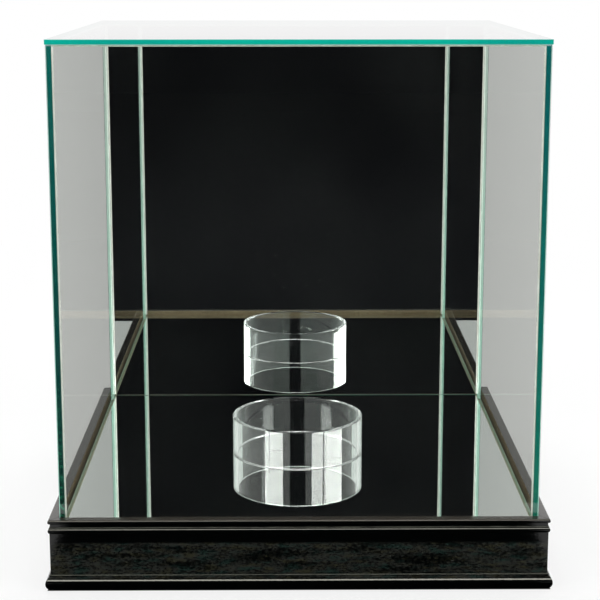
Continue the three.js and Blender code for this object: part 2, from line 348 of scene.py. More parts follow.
def edgeMaterial(name, look):
    # The cut edge of a sheet, in painted light: seen from outside it is deep green, and from inside the
    # sheet pale, standing in for the light carried through the glass.
    mat, tree = newMaterial(name)
    place = objectCoords(tree)
    cut = useGroup(tree, edgeGroup, Vector=place, Chips=look["chips"])
    height = axisOf(tree, place, "Z")
    outside = heightRamp(tree, height, look["outside"])
    if "outsideRight" in look:
        toRight = spread(tree, axisOf(tree, place, "X"), *cutEdge["sidesBlend"])
        outside = mixColour(tree, toRight, outside, heightRamp(tree, height, look["outsideRight"]))
    deeper = mixColour(tree, 1.0, outside, look["deeper"], "MULTIPLY")
    outside = mixColour(tree, cut["Depth"], outside, deeper)
    foot = spread(tree, height, look["chipsTo"], look["chipsFrom"])
    chipShare = mathNode(tree, "MULTIPLY", cut["Chips"], foot, clamp=True)
    outside = mixColour(tree, chipShare, outside, look["chipColour"])
    inside = heightRamp(tree, height, look["inside"])
    under = axisOf(tree, tree.nodes.new("ShaderNodeTexCoord").outputs["Normal"], "Z")
    # Painted shade: a bottom edge seen through its sheet is darker.
    inside = mixColour(tree, spread(tree, under, *cutEdge["underFrom"]), inside, look["insideUnder"])
    behind = backfacing(tree)
    colour = mixColour(tree, behind, outside, inside)
    # Painted glow: the edge gives off light of its own, though it is no lamp.
    paintedGlow = mixColour(tree, behind, look["paintedGlowOutside"], look["paintedGlowInside"])
    paintedGlow = mixColour(tree, 1.0, colour, paintedGlow, "MULTIPLY")
    roughTo = look["roughness"] + cutEdge["roughnessSpan"]
    return coated(
        mat,
        Base_Color=colour,
        Roughness=spread(tree, cut["Marks"], *cutEdge["markBounds"], look["roughness"], roughTo),
        Specular_IOR_Level=look["shine"],
        Normal=bump(tree, cut["Marks"], *cutEdge["bump"]),
        Emission_Color=paintedGlow,
        Emission_Strength=1.0,
    )


# Painted light: colours go by height in metres, as the light carried through each edge falls. The
# right-hand upright edges stand against a paler room, and get a paler painted light.
uprightEdgeLook = {
    "outside": [
        (0.037, (0.0005, 0.018, 0.011)), (0.12, (0.0002, 0.006, 0.006)), (0.20, (0.0, 0.004, 0.006)),
        (0.24, (0.0, 0.024, 0.030)), (0.275, (0.0, 0.066, 0.062)), (0.325, (0.0, 0.150, 0.122)),
    ],
    "outsideRight": [
        (0.037, (0.002, 0.19, 0.13)), (0.065, (0.004, 0.21, 0.17)), (0.083, (0.002, 0.19, 0.15)),
        (0.100, (0.001, 0.09, 0.08)), (0.137, (0.002, 0.07, 0.07)), (0.155, (0.002, 0.028, 0.042)),
        (0.230, (0.002, 0.018, 0.032)), (0.276, (0.003, 0.038, 0.075)), (0.300, (0.002, 0.055, 0.080)),
        (0.325, (0.0, 0.150, 0.140)),
    ],
    "inside": [
        (0.037, (0.55, 0.93, 0.78)), (0.10, (0.26, 0.62, 0.48)), (0.16, (0.32, 0.54, 0.46)),
        (0.325, (0.62, 0.73, 0.67)),
    ],
    "insideUnder": (0.20, 0.26, 0.19),
    "deeper": (0.6, 0.75, 0.85),
    "chipColour": (0.02, 0.24, 0.14), "chipsFrom": 0.045, "chipsTo": 0.13,
    "chips": 1.0, "roughness": 0.18, "shine": 0.15,
    "paintedGlowOutside": (0.12, 0.12, 0.12), "paintedGlowInside": (0.55, 0.55, 0.55),
}
# Painted light: the top edge is a brighter green, for the light that runs along the top sheet.
topEdgeLook = {
    "outside": [(0.325, (0.0, 0.40, 0.29)), (0.328, (0.001, 0.44, 0.33))],
    "inside": [(0.325, (0.10, 0.42, 0.33)), (0.328, (0.10, 0.42, 0.33))],
    "insideUnder": (0.10, 0.42, 0.33),
    "deeper": (0.8, 0.72, 0.78),
    "chipColour": (0.1, 0.6, 0.5), "chipsFrom": 0.3, "chipsTo": 0.33,
    "chips": 0.0, "roughness": 0.2, "shine": 0.1,
    "paintedGlowOutside": (0.18, 0.18, 0.18), "paintedGlowInside": (0.15, 0.15, 0.15),
}
arrisLook = {
    "chips": 0.5, "roughness": 0.3, "bump": (0.00005, 0.5),
    # Painted light: lit and shaded copies of one ground edge, dark on the uprights and lighter on the top
    # sheet. The mirror floor's arris is a pale cream.
    "upright": ((0.01, 0.11, 0.10), (0.04, 0.20, 0.17)),
    "mirrorFloor": ((0.42, 0.40, 0.32), (0.62, 0.60, 0.50)),
    "top": ((0.14, 0.52, 0.42), (0.24, 0.62, 0.52)),
}


def arrisMaterial(name, tones):
    # The narrow ground bevel along every edge of a sheet
    mat, tree = newMaterial(name)
    cut = useGroup(tree, edgeGroup, Vector=objectCoords(tree), Chips=arrisLook["chips"])
    colour = mixColour(tree, cut["Depth"], *tones)
    ground = bump(tree, cut["Marks"], *arrisLook["bump"])
    return coated(mat, Base_Color=colour, Roughness=arrisLook["roughness"], Normal=ground)


mirrorLook = {"dust": 0.6, "clean": (0.86, 0.90, 0.88), "dusty": (0.82, 0.85, 0.84), "roughMost": 0.02}
backPaintLook = {
    "roller": ((420, 420, 420), 3.0, 0.6), "bands": ((3, 3, 26), 3.0, 0.6), "bounds": (0.3, 0.7),
    "tones": ((0.285, 0.303, 0.302), (0.315, 0.335, 0.33)), "rough": (0.42, 0.6), "bump": (0.0001, 0.35),
    "dust": 0.8, "dusty": (0.42, 0.42, 0.40),
}
acrylicLook = {"tint": (0.97, 0.985, 0.985), "index": 1.49, "shadow": (0.95, 0.97, 0.97)}
tapeLook = {
    "cells": 2200.0, "cellBounds": (0.0, 0.6), "tones": ((0.86, 0.85, 0.80), (0.70, 0.69, 0.64)),
    "rough": 0.8, "bump": (0.0002, 0.5),
}


def mirrorMaterial():
    mat, tree = newMaterial("silveredGlass")
    look = mirrorLook
    dust = useGroup(tree, dustGroup, Vector=objectCoords(tree), Amount=look["dust"])["Mask"]
    colour = mixColour(tree, dust, look["clean"], look["dusty"])
    rough = spread(tree, dust, 0.0, 1.0, 0.0, look["roughMost"])
    return coated(mat, Base_Color=colour, Metallic=1.0, Roughness=rough)


def backPaintMaterial():
    # The rolled grey paint that guards the silver
    mat, tree = newMaterial("mirrorBackPaint")
    look = backPaintLook
    place = objectCoords(tree)
    roller = noise(tree, place, look["roller"])
    bands = spread(tree, noise(tree, place, look["bands"]), *look["bounds"])
    dust = useGroup(tree, dustGroup, Vector=place, Amount=look["dust"])["Mask"]
    colour = mixColour(tree, dust, mixColour(tree, bands, *look["tones"]), look["dusty"])
    rough = spread(tree, roller, *look["bounds"], *look["rough"])
    stipple = bump(tree, roller, *look["bump"])
    return coated(mat, Base_Color=colour, Roughness=rough, Normal=stipple)


def acrylicMaterial():
    mat, tree = newMaterial("clearAcrylic")
    look = acrylicLook
    glass = bsdf(
        tree, "Principled",
        Base_Color=look["tint"], IOR=look["index"], Transmission_Weight=1.0, Roughness=0.0,
    )
    toLamp = tree.nodes.new("ShaderNodeLightPath").outputs["Is Shadow Ray"]
    clear = bsdf(tree, "Transparent", Color=look["shadow"])
    return finish(mat, mixShader(tree, toLamp, glass, clear))


def tapeMaterial():
    mat, tree = newMaterial("whiteFoamTape")
    look = tapeLook
    foam = addNode(tree, "ShaderNodeTexVoronoi", Vector=objectCoords(tree), Scale=look["cells"])
    cells = foam.outputs["Distance"]
    colour = mixColour(tree, spread(tree, cells, *look["cellBounds"]), *look["tones"])
    dents = bump(tree, cells, *look["bump"])
    return coated(mat, Base_Color=colour, Roughness=look["rough"], Normal=dents)


blackWoodLook = {
    "deep": (0.0006, 0.0009, 0.0008), "gloss": 0.09, "fleckGloss": 0.22, "shine": 0.45,
    "bump": (0.00005, 0.3),
    "flecks": [(0.013, 0.028, 0.023), (0.025, 0.027, 0.023), (0.031, 0.031, 0.018)],
    "tint": ((80, 240, 240), 2.0, 0.55), "tints": [(0.36, 0.48), (0.52, 0.64)],
    # Above the upper bound the panel is left plain black: painted shadow of the upper bead.
    "flecksFrom": (0.0066, 0.0078), "flecksTo": (0.0300, 0.0285),       # heights between which it shows
    "figureShare": 0.56, "poreShare": 0.50, "shown": (0.17, 0.92),
    # Painted highlight: thin lighter lines, broken into patches, along the edges of the two steps.
    "paintedHighlight": (0.050, 0.053, 0.042), "paintedHighlightHeights": [0.00935, 0.0390], "paintedHighlightHalf": 0.0004,
    "paintedHighlightCoreShare": 0.6, "paintedHighlightPatches": (0.35, 0.6, 0.3, 1.0),
    # The lip's top is lighter and browner than the rest.
    "paleLipTop": (0.040, 0.036, 0.030), "lipFrom": (0.0428, 0.0434),
}
# Bare wood: pine, and the rails' own wood where no lacquer went, with its grain along the rail
pineLook = {
    "alongRail": False, "tones": ((0.62, 0.43, 0.23), (0.40, 0.25, 0.11)), "pore": (0.30, 0.18, 0.08),
    "pores": 0.6, "rough": 0.7, "bump": (0.0004, 0.5),
}
bareRebateLook = {
    "alongRail": True, "tones": ((0.36, 0.27, 0.17), (0.24, 0.17, 0.10)), "pore": (0.16, 0.11, 0.07),
    "pores": 0.6, "rough": 0.75, "bump": (0.0003, 0.5),
}


def alongGrain(tree):
    along = tree.nodes.new("ShaderNodeUVMap")
    along.uv_map = "alongGrain"
    return along.outputs["UV"]


def blackWoodMaterial():
    # Black lacquer thin enough for the grain to show, read along each rail's own length
    mat, tree = newMaterial("blackLacqueredWood")
    look = blackWoodLook
    along = alongGrain(tree)
    grain = useGroup(tree, grainGroup, Vector=along, Pores=1.0)
    height = axisOf(tree, objectCoords(tree), "Z")
    # Flecks show only on the panel; the plain black band left under the upper bead is painted shadow.
    above = spread(tree, height, *look["flecksFrom"])
    below = spread(tree, height, *look["flecksTo"])
    broad = mathNode(tree, "MULTIPLY", grain["Figure"], look["figureShare"])
    small = mathNode(tree, "MULTIPLY", grain["Pores"], look["poreShare"])
    shown = spread(tree, mathNode(tree, "ADD", broad, small), *look["shown"])
    flecks = mathNode(tree, "MULTIPLY", mathNode(tree, "MULTIPLY", above, below), shown)
    tint = noise(tree, along, look["tint"])
    fleck = look["flecks"][0]
    for bounds, colour in zip(look["tints"], look["flecks"][1:], strict=True):
        fleck = mixColour(tree, spread(tree, tint, *bounds), fleck, colour)
    colour = mixColour(tree, flecks, look["deep"], fleck)
    # Painted highlight lines along the step edges
    for middle in look["paintedHighlightHeights"]:
        off = mathNode(tree, "ABSOLUTE", mathNode(tree, "SUBTRACT", height, middle))
        highlightLine = spread(tree, off, look["paintedHighlightHalf"], look["paintedHighlightHalf"] * look["paintedHighlightCoreShare"])
        highlightLine = mathNode(tree, "MULTIPLY", highlightLine, spread(tree, tint, *look["paintedHighlightPatches"]))
        colour = mixColour(tree, highlightLine, colour, look["paintedHighlight"])
    # Lighter and browner on the lip's top
    colour = mixColour(tree, spread(tree, height, *look["lipFrom"]), colour, look["paleLipTop"])
    return coated(
        mat,
        Base_Color=colour,
        Roughness=spread(tree, flecks, 0.0, 1.0, look["gloss"], look["fleckGloss"]),
        Specular_IOR_Level=look["shine"],
        Normal=bump(tree, grain["Height"], *look["bump"]),
    )


def bareWoodMaterial(name, look):
    mat, tree = newMaterial(name)
    place = alongGrain(tree) if look["alongRail"] else objectCoords(tree)
    grain = useGroup(tree, grainGroup, Vector=place, Pores=look["pores"])
    colour = mixColour(tree, grain["Figure"], *look["tones"])
    colour = mixColour(tree, grain["Pores"], colour, look["pore"])
    fibres = bump(tree, grain["Height"], *look["bump"])
    return coated(mat, Base_Color=colour, Roughness=look["rough"], Normal=fibres)


# Finishes that one fine noise makes: its two tones, its roughness and its bump, with a broad tone over it
fibreboardLook = {
    "fine": ((700, 500, 600), 5.0, 0.7), "toneBounds": (0.3, 0.7),
    "tones": ((0.25, 0.165, 0.095), (0.42, 0.30, 0.19)), "rough": (0.85, 0.85), "bump": (0.0003, 0.4),
    "broad": ((30, 30, 30), 3.0, 0.6), "broadBounds": (0.4, 0.7, 0.0, 0.3), "broadTone": (0.30, 0.20, 0.12),
}
feltLook = {
    "fine": ((1500, 1500, 1500), 5.0, 0.75), "toneBounds": (0.3, 0.7),
    "tones": ((0.010, 0.010, 0.012), (0.045, 0.045, 0.05)), "rough": (0.95, 0.95), "bump": (0.0003, 0.8),
    "broad": ((300, 300, 300), 3.0, 0.6), "broadBounds": (0.45, 0.7, 0.0, 0.4),
    "broadTone": (0.07, 0.07, 0.075),
    "sheen": 0.4,
}
steelLook = {
    "fine": ((500, 500, 300), 4.0, 0.6), "toneBounds": (0.3, 0.7),
    "tones": ((0.52, 0.53, 0.55), (0.68, 0.68, 0.66)), "rough": (0.25, 0.45), "bump": (0.00005, 0.4),
    "metal": 1.0,
}
# Painted light: the glow makes the bead give off light of its own, though it is no lamp, and its pale tones
# stand in for the light it catches.
beadLook = {
    "fine": ((260, 260, 90), 3.0, 0.6), "toneBounds": (0.35, 0.7),
    "tones": ((0.66, 0.67, 0.61), (0.82, 0.83, 0.77)), "rough": (0.12, 0.3), "bump": (0.0002, 0.5),
    "paintedGlow": 0.1,
}
# The upper beads stand in the shade of the green edge
topBeadLook = {**beadLook, "tones": ((0.42, 0.49, 0.41), (0.52, 0.61, 0.52))}
roughBounds = (0.3, 0.7)


def speckledMaterial(name, look):
    mat, tree = newMaterial(name)
    place = objectCoords(tree)
    fine = noise(tree, place, look["fine"])
    colour = mixColour(tree, spread(tree, fine, *look["toneBounds"]), *look["tones"])
    if "broad" in look:
        over = spread(tree, noise(tree, place, look["broad"]), *look["broadBounds"])
        colour = mixColour(tree, over, colour, look["broadTone"])
    least, most = look["rough"]
    rough = least if least == most else spread(tree, fine, *roughBounds, least, most)
    extras = {}
    # A look with a painted glow gives off light of its own, though it is no lamp
    if "paintedGlow" in look:
        extras = {"Emission_Color": colour, "Emission_Strength": look["paintedGlow"]}
    return coated(
        mat,
        Base_Color=colour,
        Roughness=rough,
        Metallic=look.get("metal", 0.0),
        Sheen_Weight=look.get("sheen", 0.0),
        Normal=bump(tree, fine, *look["bump"]),
        **extras,
    )


wallGlass = paneMaterial("clearWallGlass", glassLook["wallGloss"], glassLook["mirrored"])
topGlass = paneMaterial("clearTopGlass", glassLook["topGloss"], glassLook["topMirrored"])
innerGlass = paneMaterial("clearInnerGlass", glassLook["innerGloss"], glassLook["mirrored"])
uprightEdge = edgeMaterial("uprightCutEdge", uprightEdgeLook)
topEdge = edgeMaterial("topCutEdge", topEdgeLook)
uprightArris = arrisMaterial("uprightArris", arrisLook["upright"])
floorArris = arrisMaterial("mirrorFloorArris", arrisLook["mirrorFloor"])
topArris = arrisMaterial("topArris", arrisLook["top"])
mirror = mirrorMaterial()
backPaint = backPaintMaterial()
bead = speckledMaterial("clearGlazingBead", beadLook)
topBead = speckledMaterial("shadedGlazingBead", topBeadLook)
acrylic = acrylicMaterial()
blackWood = blackWoodMaterial()
fibreboard = speckledMaterial("rawFibreboard", fibreboardLook)
pine = bareWoodMaterial("sawnPine", pineLook)
bareRebate = bareWoodMaterial("bareRebateWood", bareRebateLook)
steel = speckledMaterial("zincPlatedSteel", steelLook)
tape = tapeMaterial()
felt = speckledMaterial("pressedFelt", feltLook)
print("materials built")


# Mesh helpers
def newObject(name, mesh, materials):
    piece = bpy.data.objects.new(name, mesh)
    scene.collection.objects.link(piece)
    for mat in materials:
        mesh.materials.append(mat)
    return piece


def meshFrom(name, bm):
    mesh = bpy.data.meshes.new(name)
    bm.to_mesh(mesh)
    bm.free()
    return mesh


def boxInto(bm, low, high):
    size = Vector(high) - Vector(low)
    middle = (Vector(high) + Vector(low)) / 2
    matrix = Matrix.Translation(middle) @ Matrix.Diagonal((*size, 1))
    bmesh.ops.create_cube(bm, size=1, matrix=matrix)


# Glass sheets: each stands where its node does, with a ground bevel on all its edges
sheets = {
    "arris": 0.0002,
    "flatOver": 0.99,           # how straight along an axis a face looks that isn't an arris
    "clear": ["glass_top", "glass_front", "glass_left", "glass_right"],
    "silvered": {"mirror_back": (0, -1, 0), "mirror_floor": (0, 0, 1)},
}


def sheetMesh(node, firstSide=None):
    # Materials in order: face, cut edge, arris, and the face that looks away from firstSide
    low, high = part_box(node)
    bm = bmesh.new()
    boxInto(bm, low, high)
    bmesh.ops.bevel(bm, geom=bm.edges[:], offset=sheets["arris"], segments=1, affect="EDGES")
    size = high - low
    thin = min(range(3), key=lambda axis: size[axis])
    bm.normal_update()
    for face in bm.faces:
        across = abs(face.normal[thin]) > sheets["flatOver"]
        straight = max(abs(value) for value in face.normal) > sheets["flatOver"]
        face.material_index = 0 if across else 1 if straight else 2
        if firstSide and face.material_index == 0 and face.normal.dot(Vector(firstSide)) < 0:
            face.material_index = 3
    return meshFrom(node, bm)


def makeSheets():
    for node in sheets["clear"]:
        finishes = [wallGlass, uprightEdge, uprightArris, innerGlass]
        if node == "glass_top":
            finishes = [topGlass, topEdge, topArris]
        side = (0, -1, 0) if node == "glass_front" else None
        piece = newObject("sheet_" + node, sheetMesh(node, side), finishes)
        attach(piece, "cover")
        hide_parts(node)
    for node, side in sheets["silvered"].items():
        rim = floorArris if node == "mirror_floor" else uprightArris
        piece = newObject("sheet_" + node, sheetMesh(node, side), [mirror, uprightEdge, rim, backPaint])
        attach(piece, "cover" if node == "mirror_back" else "base")
        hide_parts(node)


makeSheets()
print("glass sheets made")

# Moulding rails: the section is counted outwards from the glass and up from the felt feet
moulding = {
    "footBeadRadius": 0.0048, "footBeadRise": 0.0037, "footBeadReach": 0.0085,
    "footStepRise": 0.0091, "footStepReach": 0.0063, "stepRound": 0.0003,
    "panelReach": 0.0055,
    "upperBeadRadius": 0.00215, "upperBeadDrop": 0.0022, "upperBeadReach": 0.0064,
    "upperStepReach": 0.0057, "notchReach": 0.0052, "notchHeight": 0.0021,
    "lipBandHeight": 0.0026, "lipReach": 0.0064, "lipRound": 0.001,
    "glassClearance": 0.0004,
    "easing": 0.0003,
    "mitreGap": 0.0003,
    "shelfDrop": 0.0002,        # from the deck board down to the shelf of the rebate
    "beadSteps": 20, "stepSteps": 4, "lipSteps": 6, "easingSteps": 3,
    "bareFaces": 3,             # the last faces of the section, in the rebate, stay without lacquer
    "weld": 1e-7,
    "grainShift": 0.37,         # along the grain from one rail to the next
    "smoothDegrees": 28,
}
nail = {"leg": 0.006, "thickness": 0.0006, "room": 0.0003, "openBelow": 0.001}


def arc(centre, radius, start, end, steps):
    points = []
    for i in range(steps + 1):
        angle = math.radians(start + (end - start) * i / steps)
        points.append((centre[0] + radius * math.cos(angle), centre[1] + radius * math.sin(angle)))
    return points


def railSection(inset, bottom, top, shelf):
    m = moulding
    steps, stepSteps, lipSteps = m["beadSteps"], m["stepSteps"], m["lipSteps"]
    radius = m["footBeadRadius"]
    footCentre = m["footBeadReach"] - radius
    footCut = math.degrees(math.asin(m["footBeadRise"] / radius))
    footTurn = math.degrees(math.acos((m["footStepReach"] - footCentre) / radius))
    panelBottom = bottom + m["footStepRise"]
    notchTop = top - m["lipBandHeight"]
    upperStepTop = notchTop - m["notchHeight"]
    small = m["upperBeadRadius"]
    beadCentre = m["upperBeadReach"] - small
    beadMiddle = upperStepTop - m["upperBeadDrop"]
    upperCut = math.degrees(math.acos((m["panelReach"] - beadCentre) / small))
    upperTurn = math.degrees(math.acos((m["upperStepReach"] - beadCentre) / small))
    lipCentre = m["lipReach"] - m["lipRound"]
    soft, ease = m["stepRound"], m["easing"]
    points = [(-inset, bottom)]
    points += arc((footCentre, bottom + m["footBeadRise"]), radius, -footCut, footTurn, steps)
    points += arc((m["footStepReach"] - soft, panelBottom - soft), soft, 0, 90, stepSteps)
    points += [(m["panelReach"], panelBottom)]
    points += arc((beadCentre, beadMiddle), small, -upperCut, upperTurn, steps)
    points += arc((m["upperStepReach"] - soft, upperStepTop - soft), soft, 0, 90, stepSteps)
    points += [(m["notchReach"], upperStepTop), (m["notchReach"], notchTop)]
    points += arc((lipCentre, notchTop + m["lipRound"]), m["lipRound"], -90, 0, lipSteps)
    points += arc((lipCentre, top - m["lipRound"]), m["lipRound"], 0, 90, lipSteps)
    points += arc((m["glassClearance"] + ease, top - ease), ease, 90, 180, m["easingSteps"])
    points += [(m["glassClearance"], shelf), (-inset, shelf)]
    return points


def railMesh(name, section, halfAlong, halfAcross, number):
    # Built at the front, then turned to its side. The UV map runs along the grain, in metres.
    bm = bmesh.new()
    uv = bm.loops.layers.uv.new("alongGrain")
    pullBack = moulding["mitreGap"] / math.sqrt(2)
    rings = []
    for side in (-1, 1):
        rings.append([
            bm.verts.new((side * (halfAlong + u - pullBack), -(halfAcross + u), z)) for u, z in section
        ])
    left, right = rings
    girth = 0.0
    shift = moulding["grainShift"] * number
    for i, vertex in enumerate(left):
        after = (i + 1) % len(left)
        step = (left[after].co - vertex.co).yz.length
        if step < moulding["weld"]:
            continue
        face = bm.faces.new((vertex, right[i], right[after], left[after]))
        face.material_index = 1 if i >= len(left) - moulding["bareFaces"] else 0
        around = (girth, girth, girth + step, girth + step)
        for loop, value in zip(face.loops, around, strict=True):
            loop[uv].uv = (loop.vert.co.x + shift, value + shift)
        girth += step
    for ring, flip in ((left, True), (right, False)):
        face = bm.faces.new(ring[::-1] if flip else ring)
        for loop in face.loops:
            loop[uv].uv = (loop.vert.co.y + shift, loop.vert.co.z + shift)
    bmesh.ops.remove_doubles(bm, verts=bm.verts[:], dist=moulding["weld"])
    bmesh.ops.recalc_face_normals(bm, faces=bm.faces[:])
    return meshFrom(name, bm)


def nailSlots(name):
    # Room for the corner nails that cross the mitres, all in one cutter
    bm = bmesh.new()
    room = nail["room"]
    thick, reach = nail["thickness"] + 2 * room, nail["leg"] + 2 * room
    drop = nail["openBelow"] + 2 * room
    for corner in cornerNames:
        for number in (1, 2):
            low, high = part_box(f"corner_nail_{corner}_{number}")
            inwards = Vector((-math.copysign(1, low.x + high.x), -math.copysign(1, low.y + high.y)))
            outer = Vector((low.x if inwards.x > 0 else high.x, low.y if inwards.y > 0 else high.y))
            near = outer - inwards * room
            for longX, longY in ((reach, thick), (thick, reach)):
                far = near + Vector((inwards.x * longX, inwards.y * longY))
                first = (min(near.x, far.x), min(near.y, far.y), low.z - drop)
                last = (max(near.x, far.x), max(near.y, far.y), high.z + room)
                boxInto(bm, first, last)
    return newObject(name, meshFrom(name, bm), [])


def keepChanged(piece, change):
    # Leaves the changed mesh on the piece, without its modifier
    depsgraph = bpy.context.evaluated_depsgraph_get()
    made = bpy.data.meshes.new_from_object(piece.evaluated_get(depsgraph))
    piece.modifiers.remove(change)
    piece.data = made


def cutMesh(piece, cutter):
    # Takes the cutter out of the piece and leaves a plain mesh
    change = piece.modifiers.new("slots", "BOOLEAN")
    change.operation = "DIFFERENCE"
    change.solver = "EXACT"
    change.use_self = True
    change.object = cutter
    keepChanged(piece, change)


def smoothByAngle(piece, degrees):
    # Normals follow the larger faces, so that flats stay flat beside small rounds
    for face in piece.data.polygons:
        face.use_smooth = True
    piece.data.set_sharp_from_angle(angle=math.radians(degrees))
    change = piece.modifiers.new("normals", "WEIGHTED_NORMAL")
    change.keep_sharp = True
    keepChanged(piece, change)


def makeRails():
    low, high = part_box("moulding_front")
    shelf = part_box("deck_board")[0].z - moulding["shelfDrop"]
    glassHalf = -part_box("glass_front")[0].y
    inset = glassHalf + high.y
    section = railSection(inset, low.z, high.z, shelf)
    cutter = nailSlots("nailSlots")
    for number, side in enumerate(sideNames):
        mesh = railMesh("rail_" + side, section, glassHalf, glassHalf, number)
        mesh.transform(Matrix.Rotation(math.radians(90 * number), 4, "Z"))
        piece = newObject("rail_" + side, mesh, [blackWood, bareRebate])
        cutMesh(piece, cutter)
        smoothByAngle(piece, moulding["smoothDegrees"])
        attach(piece, "base")
        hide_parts("moulding_" + side)
    bpy.data.objects.remove(cutter)


makeRails()
print("rails made")


# Geometry Nodes helpers
def newTree(name, inputs):
    tree = bpy.data.node_groups.new(name, "GeometryNodeTree")
    tree.interface.new_socket("Geometry", in_out="OUTPUT", socket_type="NodeSocketGeometry")
    names = {}
    for label, kind in inputs:
        names[label] = tree.interface.new_socket(label, in_out="INPUT", socket_type=kind).identifier
    source = tree.nodes.new("NodeGroupInput")
    result = tree.nodes.new("NodeGroupOutput")
    return tree, source.outputs, result.inputs["Geometry"], names


def dressResult(tree, geometry, material, result):
    real = addNode(tree, "GeometryNodeRealizeInstances", Geometry=geometry)
    dressed = addNode(tree, "GeometryNodeSetMaterial", Geometry=real.outputs[0], Material=material)
    tree.links.new(dressed.outputs[0], result)


def grown(name, tree, names, values):
    # Runs a tree on an empty piece and keeps its result as a plain mesh
    piece = newObject(name, bpy.data.meshes.new(name), [])
    change = piece.modifiers.new("tree", "NODES")
    change.node_group = tree
    for label, value in values.items():
        change[names[label]] = value
    keepChanged(piece, change)
    return piece


# Riser ring: a rounded section swept round a circle
riser = {"wall": 0.0032, "edgeRound": 0.0004, "roundSteps": 4, "steps": 160, "smoothDegrees": 40}


def ringTree():
    tree, given, result, names = newTree("riserRing", [
        ("Radius", "NodeSocketFloat"), ("Wall", "NodeSocketFloat"), ("Height", "NodeSocketFloat"),
        ("Round", "NodeSocketFloat"), ("Steps", "NodeSocketInt"), ("Place", "NodeSocketVector"),
        ("Material", "NodeSocketMaterial"),
    ])
    path = addNode(
        tree, "GeometryNodeCurvePrimitiveCircle", Resolution=given["Steps"], Radius=given["Radius"],
    )
    section = addNode(
        tree, "GeometryNodeCurvePrimitiveQuadrilateral", Width=given["Wall"], Height=given["Height"],
    )
    rounded = addNode(
        tree, "GeometryNodeFilletCurve", mode="POLY",
        Curve=section.outputs[0], Radius=given["Round"], Count=riser["roundSteps"],
    )
    sweep = addNode(
        tree, "GeometryNodeCurveToMesh", Curve=path.outputs[0], Profile_Curve=rounded.outputs[0],
    )
    moved = addNode(
        tree, "GeometryNodeTransform", Geometry=sweep.outputs[0], Translation=given["Place"],
    )
    dressResult(tree, moved.outputs[0], given["Material"], result)
    return tree, names


def makeRing():
    low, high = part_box("riser_ring")
    tree, names = ringTree()
    middle = (low + high) / 2
    values = {
        "Radius": (high.x - low.x) / 2 - riser["wall"] / 2, "Wall": riser["wall"],
        "Height": high.z - low.z, "Round": riser["edgeRound"], "Steps": riser["steps"],
        "Place": middle, "Material": acrylic,
    }
    piece = grown("clear_riser_ring", tree, names, values)
    smoothByAngle(piece, riser["smoothDegrees"])
    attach(piece, "riser")
    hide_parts("riser_ring")


makeRing()
print("ring made")

# Felt feet: a soft-edged disc with loose fibres standing out of it
feltFoot = {
    "edgeRound": 0.00018, "roundSteps": 5, "steps": 40,
    "fibres": 420, "fibreLength": 0.0005, "fibreWidth": 0.00004, "fibreSides": 3, "seed": 5,
    "leanLeast": (1.1, 0.0, 0.0), "leanMost": (1.5, 0.0, 6.28),
}


def discMesh(name, low, high):
    # Rings from the bottom up, always in the same order, because the fibres are sown on these faces
    radius = (high.x - low.x) / 2
    middle = (low + high) / 2
    ease, steps = feltFoot["edgeRound"], feltFoot["steps"]
    outline = arc((radius - ease, low.z + ease), ease, -90, 0, feltFoot["roundSteps"])
    outline += arc((radius - ease, high.z - ease), ease, 0, 90, feltFoot["roundSteps"])
    points = [(middle.x, middle.y, low.z), (middle.x, middle.y, high.z)]
    for r, z in outline:
        for i in range(steps):
            angle = 2 * math.pi * i / steps
            points.append((middle.x + r * math.cos(angle), middle.y + r * math.sin(angle), z))
    first, last = 2, 2 + steps * (len(outline) - 1)
    faces = []
    for i in range(steps):
        after = (i + 1) % steps
        faces.append((0, first + after, first + i))
        faces.append((1, last + i, last + after))
        for ring in range(first, last, steps):
            faces.append((ring + i, ring + after, ring + steps + after, ring + steps + i))
    mesh = bpy.data.meshes.new(name)
    mesh.from_pydata(points, [], faces)
    return mesh


def fibreTree():
    tree, given, result, names = newTree("feltFibres", [
        ("Disc", "NodeSocketObject"), ("Density", "NodeSocketFloat"), ("Length", "NodeSocketFloat"),
        ("Width", "NodeSocketFloat"), ("Seed", "NodeSocketInt"), ("Material", "NodeSocketMaterial"),
    ])
    disc = addNode(tree, "GeometryNodeObjectInfo", Object=given["Disc"]).outputs["Geometry"]
    spots = addNode(
        tree, "GeometryNodeDistributePointsOnFaces",
        Mesh=disc, Density=given["Density"], Seed=given["Seed"],
    )
    strand = addNode(
        tree, "GeometryNodeMeshCone", Vertices=feltFoot["fibreSides"], Side_Segments=1,
        Radius_Top=0.0, Radius_Bottom=given["Width"], Depth=given["Length"],
    )
    lean = addNode(
        tree, "FunctionNodeRandomValue", data_type="FLOAT_VECTOR",
        Min=feltFoot["leanLeast"], Max=feltFoot["leanMost"], Seed=given["Seed"],
    )
    placed = addNode(
        tree, "GeometryNodeInstanceOnPoints", Points=spots.outputs["Points"],
        Instance=strand.outputs["Mesh"], Rotation=lean.outputs["Value"],
    )
    both = tree.nodes.new("GeometryNodeJoinGeometry")
    tree.links.new(placed.outputs[0], both.inputs[0])
    tree.links.new(disc, both.inputs[0])
    dressResult(tree, both.outputs[0], given["Material"], result)
    return tree, names


